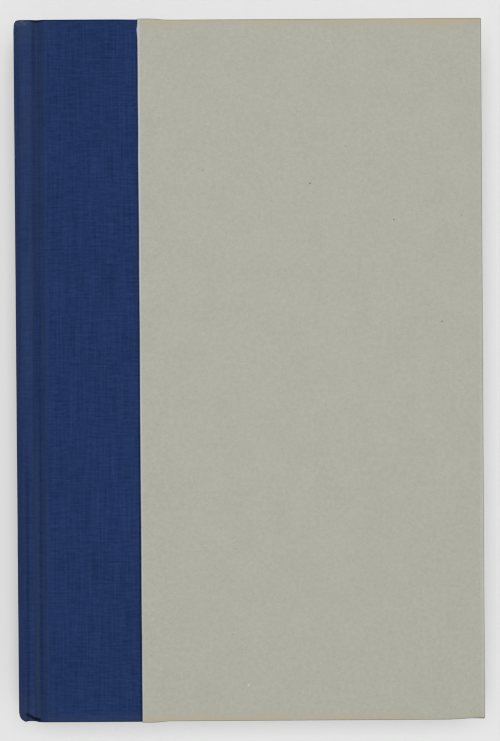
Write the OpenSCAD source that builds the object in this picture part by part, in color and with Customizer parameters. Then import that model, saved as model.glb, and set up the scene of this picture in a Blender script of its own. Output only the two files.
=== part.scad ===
// A quarter-bound hardback book, lying closed on its back cover.
// X runs from the spine to the fore-edge, Y from the tail to the head, and Z up.
// The origin is under the middle of the closed book, on the surface that it lies on.
// Every sheet is drawn in one section across the spine, measured from the hinge line of its
// cover and from the middle of the thickness, and the back cover mirrors the front one.

/* [Pages] */
// Width of a leaf, from its fold at the spine to the fore-edge
page_w = 154.6; // [120:0.1:220]
// Height of a leaf, from the tail to the head
page_h = 234.6; // [160:0.1:320]
// Thickness of the pressed block of leaves, without the endpapers
block_t = 22.4; // [14:0.1:45]

/* [Spine] */
// How far the middle of the rounded spine stands out past its two ridges
spine_round = 2.65; // [1.2:0.05:5]
// Air between the lined spine of the block and the spine of the case
hollow_back = 0.4; // [0.2:0.05:2]
// Height of the ridge beside the spine, above the bottom of the joint groove
ridge_h = 1.6; // [0.8:0.05:2.4]
// Radius of the shoulder that the block of leaves has under the ridge
shoulder_r = 1.87; // [0.4:0.01:3]
// Radius at the foot of the ridge, where it runs into the groove
groove_r = 1; // [0.6:0.05:1.6]

/* [Case] */
// Thickness of a cover board
board_t = 2.5; // [2:0.1:4]
// How far the boards overhang the leaves at head, tail and fore-edge
square = 3; // [2:0.1:6]
// Distance from the hinge line to the spine edge of a board
joint_w = 6.6; // [6:0.1:12]
// Width of cloth that shows on a board
cloth_show = 32.3; // [28:0.1:60]
// How far the side paper laps over the cloth
lap = 4; // [2:0.1:6]
// Width of the slope where the side paper steps down off the cloth
lap_slope = 1; // [0.4:0.1:2]
// Depth of the turned-in edges inside the covers
turn_in = 15; // [10:0.5:20]
// Radius of the softened long edges of a board
board_edge_r = 0.3; // [0.1:0.05:0.6]

/* [Sheets] */
// Thickness of the book cloth
cloth_t = 0.35; // [0.25:0.01:0.5]
// Thickness of the paper on the sides
side_t = 0.18; // [0.12:0.01:0.3]
// Thickness of an endpaper
end_t = 0.15; // [0.1:0.01:0.25]
// Thickness of the glued mull
mull_t = 0.35; // [0.2:0.01:0.45]
// How far the mull reaches on to each board
mull_on_board = 25; // [15:0.5:27.5]
// Thickness of the paper lining on the spine of the block
lining_t = 0.2; // [0.1:0.01:0.4]
// Thickness of the card strip inside the spine of the case
inlay_t = 0.5; // [0.3:0.05:1]

/* [Bands] */
// Diameter of the rolled bead of a headband
bead_d = 1.6; // [1:0.05:2.2]
// Depth of the headband tape glued to the spine
tape_h = 12; // [8:0.5:12]

/* [Wear] */
// How far the bumped corner of the front cover, at the tail, runs along the edge
bump_w = 12; // [4:0.5:30]
// How far that corner is pushed in
bump_d = 1; // [0.3:0.1:2]

/* [Clearances] */
// Play between a closed cover and the first leaf
page_gap = 0.15; // [0.1:0.01:0.4]
// Play between the spine cloth and the cloth of a cover at the hinge line
hinge_gap = 0.15; // [0.1:0.01:0.3]
// Gap that is cut between the turned-in edges of the side paper at a corner
corner_gap = 0.5; // [0.2:0.05:1.5]
// Gap between an end of the mull and the turned-in cloth, or the tape of a headband
mull_gap = 1; // [0.5:0.1:8]
// How far the paper lining stops short of each end of the block
lining_gap = 0.5; // [0.2:0.1:3]

/* [Hidden] */

arc_steps = 8;      // straight pieces in a small rounded corner
spine_steps = 24;   // straight pieces in the curve of the spine
past = 1;           // how far a cutting shape runs past what it cuts

// Heights above the middle of the thickness
board_h = page_h + 2 * square;
under_t = max(cloth_t, mull_t);                       // what lies under a board beside the joint
inner_t = max(under_t, cloth_t + side_t) + end_t;     // the most that lines the inside of a cover
leaf_z = block_t / 2 + end_t;                         // outer face of the flyleaf
board_in_z = leaf_z + page_gap + inner_t;
board_out_z = board_in_z + board_t;
groove_z = board_in_z + cloth_t;                      // outer face of the cloth in the joint
hinge_z = groove_z + ridge_h;
cover_z = board_out_z + cloth_t + side_t;             // the highest point, where the paper laps

// Depths below the outer face of the cloth in the joint
paste_in_d = cloth_t + under_t;
paste_out_d = paste_in_d + end_t;
leaf_d = groove_z - leaf_z;
block_d = groove_z - block_t / 2;

// The ridge and the groove are two arcs that run into each other
ridge_r = max(block_d, cloth_t + inlay_t + cloth_t) + shoulder_r;
ridge_z = hinge_z - ridge_r;
ogee_a = acos(1 - ridge_h / (ridge_r + groove_r));
groove_x = (ridge_r + groove_r) * sin(ogee_a);
groove_mid_z = ridge_z + (ridge_r + groove_r) * cos(ogee_a);
foot_r = 0.6 * (board_t - cloth_t);                   // where the cloth climbs the board's edge

// The spine's arc touches both ridges
spine_bulge = ridge_r + spine_round;
spine_r = (spine_bulge * spine_bulge + ridge_z * ridge_z - ridge_r * ridge_r) / (2 * spine_round);
spine_x = spine_r - spine_bulge;
spine_a = atan2(ridge_z, spine_x);

// Depths below the outer face of the spine
turned_d = cloth_t + inlay_t;
turned_in_d = turned_d + cloth_t;
lining_d = turned_in_d + hollow_back;
mull_d = lining_d + lining_t;
spine_block_d = mull_d + mull_t;
block_r = spine_r - spine_block_d;
bead_r = spine_r - max(spine_block_d, turned_in_d + hinge_gap + bead_d / 2);

// Positions across the book, from the hinge line
fold_x = spine_x - sqrt(block_r * block_r - block_t * block_t / 4);
fore_x = fold_x + page_w;
board_x = fore_x + square;
seam_x = joint_w + cloth_show;
cloth_x = seam_x + lap;
x_mid = (board_x + side_t - spine_bulge) / 2;
bead_y = page_h / 2 + bead_d / 2;
mull_h = 2 * (min(board_h / 2 - turn_in, bead_y - tape_h) - mull_gap);

cloth_blue = [0.14, 0.20, 0.36];
paper_grey = [0.68, 0.68, 0.63];
leaf_cream = [0.93, 0.90, 0.82];
end_white = [0.90, 0.88, 0.82];
board_brown = [0.62, 0.56, 0.46];
mull_white = [0.86, 0.85, 0.80];
kraft_brown = [0.70, 0.55, 0.38];

function backwards(points) = [for (i = [len(points) - 1:-1:0]) points[i]];
function flipped(points) = [for (p = points) [p[0], -p[1]]];
function arc(x, z, r, a0, a1, steps = arc_steps) =
    [for (i = [0:steps]) let (a = a0 + (a1 - a0) * i / steps) [x + r * cos(a), z + r * sin(a)]];

// The line of the spine at a depth d below its outer face, from one ridge to the other, where
// extra steps carry it on past the ridges
function spine_line(d, extra = 0) = let (a = spine_a * (1 + 2 * extra / spine_steps))
    arc(spine_x, 0, spine_r - d, 180 - a, 180 + a, spine_steps + 2 * extra);
// The line of the spine cloth, which goes on round both ridges to a little short of the hinge lines
function spine_cloth_line(d) = let (
    gap_a = asin(hinge_gap / (ridge_r - turned_in_d)),
    ridge = arc(0, ridge_z, ridge_r - d, 90 + gap_a, 180 - spine_a))
    concat(ridge, spine_line(d), backwards(flipped(ridge)));

// The line of a sheet that lies a depth d below the cloth, from the top of the ridge into the groove
function joint_line(d) = concat(
    arc(0, ridge_z, ridge_r - d, 90, 90 - ogee_a),
    arc(groove_x, groove_mid_z, groove_r + d, 270 - ogee_a, 270));
// A sheet that goes on under the board, as far as x
function under_line(d, x) = concat(joint_line(d), [[x, groove_z - d]]);
// A sheet that climbs the edge of the board and goes on over it, as far as x
function over_line(d, x) = concat(
    joint_line(d),
    arc(joint_w - cloth_t - foot_r, groove_z + foot_r, foot_r + d, 270, 360),
    arc(joint_w + board_edge_r, board_out_z - board_edge_r, board_edge_r + cloth_t - d, 180, 90),
    [[x, board_out_z + cloth_t - d]]);
// The outline of the board grown by t at its fore-edge, where it takes the side paper
function slab_outline(x0, t) = let (r = board_edge_r + t) concat(
    arc(board_x + t - r, board_in_z - t + r, r, 270, 360),
    arc(board_x + t - r, board_out_z + t - r, r, 0, 90),
    // over the edge of the cloth that the paper laps
    [[cloth_x + lap_slope, board_out_z + t], [cloth_x, board_out_z + cloth_t + t],
     [x0, board_out_z + cloth_t + t], [x0, board_in_z - cloth_t - t],
     [cloth_x, board_in_z - cloth_t - t], [cloth_x + lap_slope, board_in_z - t]]);

// A section across the book, drawn in X and Z, run along the spine for a length
module along_spine(length) {
    rotate([90, 0, 0]) linear_extrude(length, center = true) children();
}

// A block between two corners
module block(low, high) {
    translate(low) cube(high - low);
}

// The same shape at the head and at the tail
module both_ends() {
    children();
    mirror([0, 1, 0]) children();
}

// Puts the section of the front half in place, or mirrors it under the book for the back half
module half(front) {
    translate([-x_mid, 0, cover_z]) {
        if (front) children();
        else mirror([0, 0, 1]) children();
    }
}

// A sheet between two lines, run along the spine for a length
module sheet(line, inner_line, length) {
    along_spine(length) polygon(concat(line, backwards(inner_line)));
}

// A curved sheet of the spine between two depths below its outer face
module spine_sheet(d0, d1, length) {
    translate([-x_mid, 0, cover_z]) sheet(spine_line(d0), spine_line(d1), length);
}

// Everything on the fore-edge side of the spine of the block
module in_front_of_spine() {
    along_spine(page_h + 2 * past) polygon(concat(
        [[fore_x + past, 2 * block_t]], spine_line(spine_block_d, 3), [[fore_x + past, -2 * block_t]]));
}

// The block of leaves, rounded and backed at the spine. The leaves are all as wide as each other, so
// the fore-edge is hollow where the spine is round
module text_block() {
    top = concat([[-spine_bulge, ridge_z + ridge_r - block_d]], under_line(block_d, fore_x));
    color(leaf_cream) translate([-x_mid, 0, cover_z]) difference() {
        intersection() {
            along_spine(page_h) polygon(concat(top, backwards(flipped(top))));
            in_front_of_spine();
        }
        translate([spine_x + page_w, 0, 0]) rotate([90, 0, 0])
            cylinder(r = block_r, h = page_h + 2 * past, center = true, $fn = 180);
    }
}

// The free half of an endpaper, glued along its fold to the outermost leaf
module flyleaf(front) {
    color(end_white) half(front) intersection() {
        sheet(under_line(leaf_d, fore_x), under_line(block_d, fore_x), page_h);
        in_front_of_spine();
    }
}

// Open-weave mull glued over the folds of the leaves
module mull() {
    color(mull_white) spine_sheet(mull_d, spine_block_d, mull_h);
}

module spine_lining() {
    color(kraft_brown) spine_sheet(lining_d, mull_d, page_h - 2 * lining_gap);
}

// A woven band: a tape on the spine of the block, and a bead that stands on the edge of the leaves
module band(end) {
    color("ivory") mirror([0, end < 0 ? 1 : 0, 0]) {
        translate([0, bead_y - tape_h / 2, 0]) spine_sheet(mull_d, spine_block_d, tape_h);
        translate([spine_x - x_mid, bead_y, cover_z]) rotate([90, 0, 0]) rotate([0, 0, 180 - spine_a])
            rotate_extrude(angle = 2 * spine_a, $fn = 180)
                translate([bead_r, 0]) circle(d = bead_d, $fn = 24);
    }
}

// The flexible card that stiffens the spine of the case
module spine_inlay() {
    color(board_brown) spine_sheet(cloth_t, turned_d, board_h);
}

// The cloth round the spine from one hinge line to the other, turned in at head and tail
module spine_cloth() {
    middle = concat([[past, hinge_z]], spine_cloth_line(cloth_t), [[past, -hinge_z]]);
    color(cloth_blue) translate([-x_mid, 0, cover_z]) difference() {
        sheet(spine_cloth_line(0), spine_cloth_line(turned_in_d), board_h + 2 * cloth_t);
        // the card fills this pocket
        sheet(spine_cloth_line(cloth_t), spine_cloth_line(turned_d), board_h);
        // the turned-in edges are this deep
        along_spine(board_h - 2 * turn_in) polygon(middle);
    }
}

module board_shape(front) {
    intersection() {
        along_spine(board_h) polygon(concat(
            arc(board_x - board_edge_r, board_in_z + board_edge_r, board_edge_r, 270, 360),
            arc(board_x - board_edge_r, board_out_z - board_edge_r, board_edge_r, 0, 90),
            arc(joint_w + board_edge_r, board_out_z - board_edge_r, board_edge_r, 90, 180),
            [[joint_w, board_in_z]]));
        plan_outline(0, 0, front);
    }
}

module board(front) {
    color(board_brown) half(front) board_shape(front);
}

// The cloth from the hinge line through the joint and on to the board, turned in at head and tail
module cover_cloth(front) {
    middle = concat([[-past, hinge_z - cloth_t]], under_line(cloth_t, cloth_x + past),
                    [[cloth_x + past, 0], [-past, 0]]);
    color(cloth_blue) half(front) difference() {
        sheet(over_line(0, cloth_x), under_line(2 * cloth_t, cloth_x), board_h + 2 * cloth_t);
        board_shape(front);
        // the turned-in edges are this deep
        along_spine(board_h - 2 * turn_in) polygon(middle);
    }
}

// A board's outline from above, grown by t, with the step over the cloth and the bumped corner
module plan_outline(x0, t, front) {
    y = board_h / 2 + t;
    corner = front ? [[board_x + t, bump_d - y], [board_x + t - bump_w, -y]] : [[board_x + t, -y]];
    linear_extrude(4 * cover_z, center = true) polygon(concat(
        [[x0, y + cloth_t], [cloth_x, y + cloth_t], [cloth_x + lap_slope, y], [board_x + t, y]],
        corner,
        [[cloth_x + lap_slope, -y], [cloth_x, -y - cloth_t], [x0, -y - cloth_t]]));
}

module wrapped_slab(x0, t, front) {
    intersection() {
        along_spine(board_h + 2 * past) polygon(slab_outline(x0, t));
        plan_outline(x0, t, front);
    }
}

// The paper on the side of the book, turned in at head, tail and fore-edge with mitred corners
module side_paper(front) {
    inner_x = board_x - turn_in;
    inner_y = board_h / 2 - turn_in;
    low = board_in_z - cloth_t - side_t - past;
    mitre = [turn_in * sqrt(2), corner_gap, board_in_z - low];
    color(paper_grey) half(front) difference() {
        wrapped_slab(seam_x, side_t, front);
        wrapped_slab(seam_x - past, 0, front);
        // the bare middle of the board, which the pastedown covers
        block([seam_x - past, -inner_y, low], [inner_x, inner_y, board_in_z]);
        // the cuts where the turned-in edges meet at the corners
        for (end = [1, -1]) mirror([0, end < 0 ? 1 : 0, 0])
            translate([board_x, board_h / 2 - (front && end < 0 ? bump_d : 0), low]) rotate([0, 0, 225])
                translate([board_edge_r + side_t, -corner_gap / 2, 0]) cube(mitre);
    }
}

// The mull's flange, glued down through the joint and under the board
module mull_flange(front) {
    x = joint_w + mull_on_board;
    color(mull_white) half(front) sheet(under_line(cloth_t, x), under_line(cloth_t + mull_t, x), mull_h);
}

// What lies on the inside of a board: where it starts and ends, whether it runs the whole height of
// the board or only along head and tail, and its thickness
function linings() = [
    [joint_w - past, joint_w + mull_on_board, true, under_t],
    [joint_w - past, cloth_x, false, cloth_t],
    [seam_x, cloth_x + lap_slope, false, cloth_t + side_t],
    [cloth_x, board_x, false, side_t],
    [board_x - turn_in, board_x, true, side_t]];

// The space that the linings take up, grown on every side
module lining_space(grow) {
    for (part = linings()) let (
        y = part[2] ? 0 : board_h / 2 - turn_in - grow,
        low = [part[0] - grow, y, board_in_z - part[3] - grow],
        high = [part[1] + grow, board_h, board_in_z + past])
        both_ends() block(low, high);
}

// The half of an endpaper that is pasted down over the turn-ins, the mull and the joint
module pastedown(front) {
    color(end_white) half(front) {
        difference() {
            intersection() {
                union() {
                    lining_space(end_t);
                    block([joint_w, -board_h, board_in_z - end_t], [board_x, board_h, board_in_z + past]);
                }
                block([joint_w, -page_h / 2, 0], [fore_x, page_h / 2, board_in_z]);
            }
            lining_space(0);
        }
        sheet(under_line(paste_in_d, joint_w), under_line(paste_out_d, joint_w), page_h);
    }
}

text_block();
flyleaf(true);  // front_flyleaf
flyleaf(false);  // back_flyleaf
mull();
spine_lining();
band(1);  // headband
band(-1);  // tailband
spine_inlay();
spine_cloth();
board(true);  // front_board
cover_cloth(true);  // front_cloth
side_paper(true);  // front_side_paper
mull_flange(true);  // front_mull_flange
pastedown(true);  // front_pastedown
board(false);  // back_board
cover_cloth(false);  // back_cloth
side_paper(false);  // back_side_paper
mull_flange(false);  // back_mull_flange
pastedown(false);  // back_pastedown
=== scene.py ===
import math
import random

import bpy
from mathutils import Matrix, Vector, noise


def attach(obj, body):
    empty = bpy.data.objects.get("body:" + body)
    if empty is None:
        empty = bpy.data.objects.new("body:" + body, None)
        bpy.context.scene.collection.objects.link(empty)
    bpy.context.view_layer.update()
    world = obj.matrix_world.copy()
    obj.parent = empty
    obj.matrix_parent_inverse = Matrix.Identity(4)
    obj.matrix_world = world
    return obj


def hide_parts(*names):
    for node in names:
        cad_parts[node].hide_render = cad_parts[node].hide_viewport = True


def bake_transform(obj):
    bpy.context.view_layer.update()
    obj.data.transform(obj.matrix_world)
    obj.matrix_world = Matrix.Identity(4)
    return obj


# A quarter-bound hardback: blue cloth over the spine, grey paper on the sides
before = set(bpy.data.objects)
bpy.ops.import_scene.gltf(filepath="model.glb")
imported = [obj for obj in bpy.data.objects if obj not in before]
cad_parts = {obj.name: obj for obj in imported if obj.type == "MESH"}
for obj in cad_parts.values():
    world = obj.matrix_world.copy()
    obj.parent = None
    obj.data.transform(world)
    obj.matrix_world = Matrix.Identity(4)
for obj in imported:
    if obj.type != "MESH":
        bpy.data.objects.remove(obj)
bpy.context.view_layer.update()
mm = 0.001
sides = (("front", True), ("back", False))  # a cover's word, and whether it is the front

book = {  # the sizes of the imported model, in millimetres
    "pageWidth": 154.6, "pageHeight": 234.6, "pagesThick": 22.4,
    "spineRound": 2.65, "hollow": 0.4, "ridgeHeight": 1.6, "shoulder": 1.87, "groove": 1.0,
    "board": 2.5, "square": 3.0, "joint": 6.6, "clothShow": 32.3, "lap": 4.0,
    "turnIn": 15.0, "softEdge": 0.3,
    "cloth": 0.35, "side": 0.18, "end": 0.15, "mull": 0.35, "mullOnBoard": 25.0, "lining": 0.2,
    "inlay": 0.5, "bead": 1.6, "tape": 12.0,
    "pageGap": 0.15, "hingeGap": 0.15, "mullGap": 1.0,
}

# Heights over the middle of the thickness, and distances from the hinge line of a cover
clothT, sideT, endT, mullT = (book[k] for k in ("cloth", "side", "end", "mull"))
joint = book["joint"]
halfPage = book["pageHeight"] / 2
halfBoard = halfPage + book["square"]
halfCloth = halfBoard + clothT
leafZ = book["pagesThick"] / 2 + endT
boardIn = leafZ + book["pageGap"] + clothT + sideT + endT
boardOut = boardIn + book["board"]
grooveZ = boardIn + clothT
hingeZ = grooveZ + book["ridgeHeight"]
coverZ = boardOut + clothT + sideT
leafDepth = grooveZ - leafZ
blockDepth = grooveZ - book["pagesThick"] / 2
pasteDepth = clothT + mullT + endT
ridgeR = blockDepth + book["shoulder"]
ridgeZ = hingeZ - ridgeR
grooveR = book["groove"]
ogee = math.degrees(math.acos(1 - book["ridgeHeight"] / (ridgeR + grooveR)))
grooveX = (ridgeR + grooveR) * math.sin(math.radians(ogee))
grooveMidZ = ridgeZ + (ridgeR + grooveR) * math.cos(math.radians(ogee))
bulge = ridgeR + book["spineRound"]
spineR = (bulge ** 2 + ridgeZ ** 2 - ridgeR ** 2) / (2 * book["spineRound"])
spineX = spineR - bulge
spineA = math.degrees(math.atan2(ridgeZ, spineX))
turnedDepth = clothT + book["inlay"] + clothT
liningDepth = turnedDepth + book["hollow"]
mullDepth = liningDepth + book["lining"]
foldDepth = mullDepth + mullT
blockR = spineR - foldDepth
foldX = spineX - math.sqrt(blockR ** 2 - (book["pagesThick"] / 2) ** 2)
foreX = foldX + book["pageWidth"]
boardX = foreX + book["square"]
seamX = joint + book["clothShow"]
clothX = seamX + book["lap"]
middleX = (boardX + sideT - bulge) / 2
beadY = halfPage + book["bead"] / 2
mullHeight = 2 * (min(halfBoard - book["turnIn"], beadY - book["tape"]) - book["mullGap"])


def place(x, y, z, front=True):  # from the section's millimetres to the frame's metres
    return Vector(((x - middleX) * mm, y * mm, (coverZ + (z if front else -z)) * mm))


def share(value, low, high):  # 0 below low, 1 above high, straight between them
    return min(1.0, max(0.0, (value - low) / (high - low)))


def ramp(value, low, high):  # the same with soft ends
    t = share(value, low, high)
    return t * t * (3 - 2 * t)


def fade(value, low, high):  # the other way: 1 below low, 0 above high
    return 1 - ramp(value, low, high)


def hump(value, rise, fall):  # up over one pair of sizes, and down again over the next
    return ramp(value, *rise) * fade(value, *fall)


def ripple(x, y, size, seed):  # soft unevenness from -1 to 1, over a size in millimetres
    return noise.noise(Vector((x / size, y / size, seed)))


def evenly(low, high, steps):
    return [low + (high - low) * s / steps for s in range(steps + 1)]


def bothWays(values):  # each value and its opposite, in order
    return sorted({s * v for v in values for s in (1, -1)})


# Sections of the sheets, from the spine outwards

lineSteps = {"ridge": 8, "groove": 7, "spine": 16}  # how finely each bend of an inner sheet is divided


def curve(x, z, r, first, last, steps):  # points on an arc, after its first
    turns = [math.radians(a) for a in evenly(first, last, steps)[1:]]
    return [(x + r * math.cos(a), z + r * math.sin(a)) for a in turns]


def straight(x0, z0, x1, z1, steps):
    return list(zip(evenly(x0, x1, steps), evenly(z0, z1, steps)))[1:]


def facing(line):  # where the outer side of each point faces, on a line that starts behind the spine
    made = [(-1.0, 0.0)]
    for (x0, z0), (x1, z1) in zip(line, line[2:] + line[-1:]):
        long = math.hypot(x1 - x0, z1 - z0)
        made.append(((z0 - z1) / long, (x1 - x0) / long))
    return made


def ridgeAngle(x):
    return 90 - math.degrees(math.asin(x / ridgeR))


def jointLine(depth):  # a sheet at a depth under the cloth, from the ridge into the groove
    line = [(0.0, hingeZ - depth)]
    line += curve(0, ridgeZ, ridgeR - depth, 90, 90 - ogee, lineSteps["ridge"])
    line += curve(grooveX, grooveMidZ, grooveR + depth, 270 - ogee, 270, lineSteps["groove"])
    return line


def spineLine(depth, part=1.0, steps=lineSteps["spine"]):  # the same under the spine, out to a ridge
    middle = (spineX - spineR + depth, 0.0)
    return [middle] + curve(spineX, 0, spineR - depth, 180, 180 - spineA * part, steps)


def wholeSpine(half):  # a line over half the spine and its mirror, in one
    return [(x, -z) for x, z in half[:0:-1]] + half


def lengths(line):  # how far each point is along the line
    run = [0.0]
    for a, b in zip(line, line[1:]):
        run.append(run[-1] + math.hypot(b[0] - a[0], b[1] - a[1]))
    return run


# Making meshes

def only(piece):  # makes one object the selected and active one
    bpy.ops.object.select_all(action="DESELECT")
    piece.select_set(True)
    bpy.context.view_layer.objects.active = piece


def finishWith(piece, kind, **settings):  # adds a modifier and applies it
    only(piece)
    modifier = piece.modifiers.new(kind.title(), kind)
    for name, value in settings.items():
        setattr(modifier, name, value)
    bpy.ops.object.modifier_apply(modifier=modifier.name)


def turnFacesOver(piece):
    only(piece)
    bpy.ops.object.mode_set(mode="EDIT")
    bpy.ops.mesh.select_all(action="SELECT")
    bpy.ops.mesh.flip_normals()
    bpy.ops.object.mode_set(mode="OBJECT")


def smooth(piece, angle=40):
    only(piece)
    bpy.ops.object.shade_smooth_by_angle(angle=math.radians(angle))


def layFlat(name, columns, rows, put):  # a grid with a column and a row for each size given
    # its UV map keeps those sizes, and each point is then put in its place
    across, down = len(columns) - 1, len(rows) - 1
    bpy.ops.object.select_all(action="DESELECT")
    bpy.ops.mesh.primitive_grid_add(x_subdivisions=across, y_subdivisions=down, size=2)
    piece = bpy.context.object
    piece.name = piece.data.name = name
    flat = piece.data.uv_layers.active
    flat.name = "flat"
    where = [(round((v.co.x + 1) / 2 * across), round((v.co.y + 1) / 2 * down))
             for v in piece.data.vertices]
    for loop in piece.data.loops:
        i, j = where[loop.vertex_index]
        flat.data[loop.index].uv = (columns[i], rows[j])
    for vertex, (i, j) in zip(piece.data.vertices, where):
        vertex.co = put(i, j)
    return piece


def makeSheet(name, columns, rows, put, thick, front):  # the side given is the one that shows
    piece = layFlat(name, columns, rows, put)
    if not front:
        turnFacesOver(piece)
    finishWith(piece, "SOLIDIFY", thickness=thick * mm, offset=-1, use_even_offset=True)
    smooth(piece)
    return piece


def sweep(name, line, ys, thick, outward, front=True):  # a sheet of one section, over the heights given
    def put(i, j):
        return place(line[i][0], ys[j], line[i][1], front)

    return makeSheet(name, lengths(line), ys, put, thick, outward)


def selectEdges(piece, test):  # selects the edges whose two ends pass the test
    only(piece)
    bpy.ops.object.mode_set(mode="EDIT")
    bpy.ops.mesh.select_mode(type="EDGE")
    bpy.ops.mesh.select_all(action="DESELECT")
    bpy.ops.object.mode_set(mode="OBJECT")
    for edge in piece.data.edges:
        edge.select = test(*(piece.data.vertices[n].co for n in edge.vertices))


def drawOut(piece, put):  # extrudes the selected edges and puts each new point in its place
    bpy.ops.object.mode_set(mode="EDIT")
    bpy.ops.mesh.extrude_edges_move(TRANSFORM_OT_translate={"value": (0, 0, 0)})
    bpy.ops.object.mode_set(mode="OBJECT")
    for vertex in piece.data.vertices:
        if vertex.select:
            vertex.co = put(*vertex.co)


def paint(piece, name, values):  # a number for each point, which the finish reads
    painted = piece.data.attributes.new(name, "FLOAT", "POINT")
    for point, value in zip(painted.data, values):
        point.value = min(1.0, max(0.0, value))


# Materials

def shade(red, green, blue):  # a screen colour from 0 to 255, as the shaders take it
    made = []
    for part in (red, green, blue):
        c = part / 255
        made.append(c / 12.92 if c <= 0.04045 else ((c + 0.055) / 1.055) ** 2.4)
    return (*made, 1.0)


class Wire:  # an output of a node, which sums are written with
    def __init__(self, tree, socket=None):
        self.tree, self.socket = tree, socket

    def node(self, kind, settings=None, inputs=None, output=0):  # any node, its settings first
        made = self.tree.nodes.new("ShaderNode" + kind)
        for name, value in (settings or {}).items():
            setattr(made, name, value)
        for name, value in (inputs or {}).items():
            if isinstance(value, Wire):
                self.tree.links.new(value.socket, made.inputs[name])
            else:
                made.inputs[name].default_value = value
        return Wire(self.tree, made.outputs[output])

    def maths(self, operation, *others, clamp=False):
        settings = {"operation": operation, "use_clamp": clamp}
        return self.node("Math", settings, dict(enumerate((self, *others))))

    def clamped(self):  # kept from 0 to 1
        return self.maths("ADD", 0, clamp=True)

    def __add__(self, other):
        return self.maths("ADD", other)

    def __sub__(self, other):
        return self.maths("SUBTRACT", other)

    def __rsub__(self, other):
        return self.node("Math", {"operation": "SUBTRACT"}, {0: other, 1: self})

    def __mul__(self, other):
        return self.maths("MULTIPLY", other)

    __radd__ = __add__
    __rmul__ = __mul__

    def between(self, low, high):  # 0 below low, 1 above high
        return self.node("MapRange", {"interpolation_type": "SMOOTHSTEP"},
                         {"Value": self, "From Min": low, "From Max": high})

    def axis(self, name):  # one axis of a vector
        return self.node("SeparateXYZ", None, {0: self}, name)

    def stretched(self, x, y, z):  # a vector with its pattern scaled on each axis
        return self.node("Mapping", None, {"Vector": self, "Scale": (x, y, z)})

    def speckle(self, scale, detail=2.0, rough=0.5):  # noise about 0, mostly within 0.3 of it
        inputs = {"Vector": self, "Scale": scale, "Detail": detail, "Roughness": rough}
        return self.node("TexNoise", None, inputs) - 0.5

    def distanceTo(self, spot):
        return self.node("VectorMath", {"operation": "DISTANCE"}, {0: self, 1: spot}, "Value")

    def mixed(self, first, second):  # this is the factor between two colours
        return self.node("Mix", {"data_type": "RGBA"}, {0: self, 6: first, 7: second}, 2)


markCore = 0.3  # the part of a mark's size that has its full colour


class Finish:  # a material with one Principled shader
    def __init__(self, name, **fixed):
        self.material = bpy.data.materials.new(name)
        self.material.use_nodes = True
        self.tree = self.material.node_tree
        self.shader = self.tree.nodes["Principled BSDF"]
        for socket, value in fixed.items():
            self.shader.inputs[socket.replace("_", " ")].default_value = value
        self.start = Wire(self.tree)
        self.here = self.start.node("TexCoord", None, None, "Object")
        self.flat = self.start.node("UVMap", {"uv_map": "flat"})

    def painted(self, name):
        return self.start.node("Attribute", {"attribute_name": name}, None, "Fac")

    def flecked(self, colour, spots, fleck):  # small marks, each at its place and of its size
        for x, y, z, size in spots:
            away = self.here.distanceTo(place(x, y, z))
            colour = (1 - away.between(size * mm * markCore, size * mm)).mixed(colour, fleck)
        return colour

    def set(self, socket, value):
        self.tree.links.new(value.socket, self.shader.inputs[socket])

    def bump(self, height, distance, strength=1.0):
        self.set("Normal", self.start.node(
            "Bump", None, {"Strength": strength, "Distance": distance, "Height": height}))


clothLook = {
    "warp": 0.40, "weft": 0.44,  # thread spacing in millimetres
    "wander": 0.8, "wanderStretch": (0.35, 0.02, 1),  # how far the threads sway, and over what length
    "down": (1.6, 0.05, 1), "across": (0.16, 1.5, 1), "slub": (0.9, 1.0, 1),  # streaks and thick places
    "threadTone": 0.25, "downTone": 1.1, "acrossTone": 1.2, "slubTone": 0.7, "cloudTone": 0.3,
    "middleTone": 0.42, "weaveDepth": 0.00007,
    # the rubbed colour marks worn cloth and is also a painted highlight
    "deep": shade(24, 40, 77), "light": shade(42, 64, 111), "rubbedAndLit": shade(58, 71, 100),
    # the dark colour is painted shade, with some dirt in the joint's fold
    "frayed": shade(92, 98, 116), "dark": shade(7, 11, 26), "lint": shade(96, 110, 142),
    "lintSpots": ((-3.2, 104.3, ridgeZ, 0.4), (23.2, 103.1, boardOut, 0.45), (23.2, 85.4, boardOut, 0.4),
                  (14.8, -46, boardOut, 0.45), (23.9, -105.1, boardOut, 0.4)),  # place, then size
}


def threads(finish, warp, weft):  # 0 between the threads of a plain weave, 1 on top of each
    wander = finish.flat.stretched(*clothLook["wanderStretch"]).speckle(1.0) * clothLook["wander"]
    across = (finish.flat.axis("X") + wander) * (math.pi / warp)
    along = finish.flat.axis("Y") * (math.pi / weft)
    over = across.maths("SINE") * along.maths("SINE")
    return over.maths("ABSOLUTE")


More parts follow.
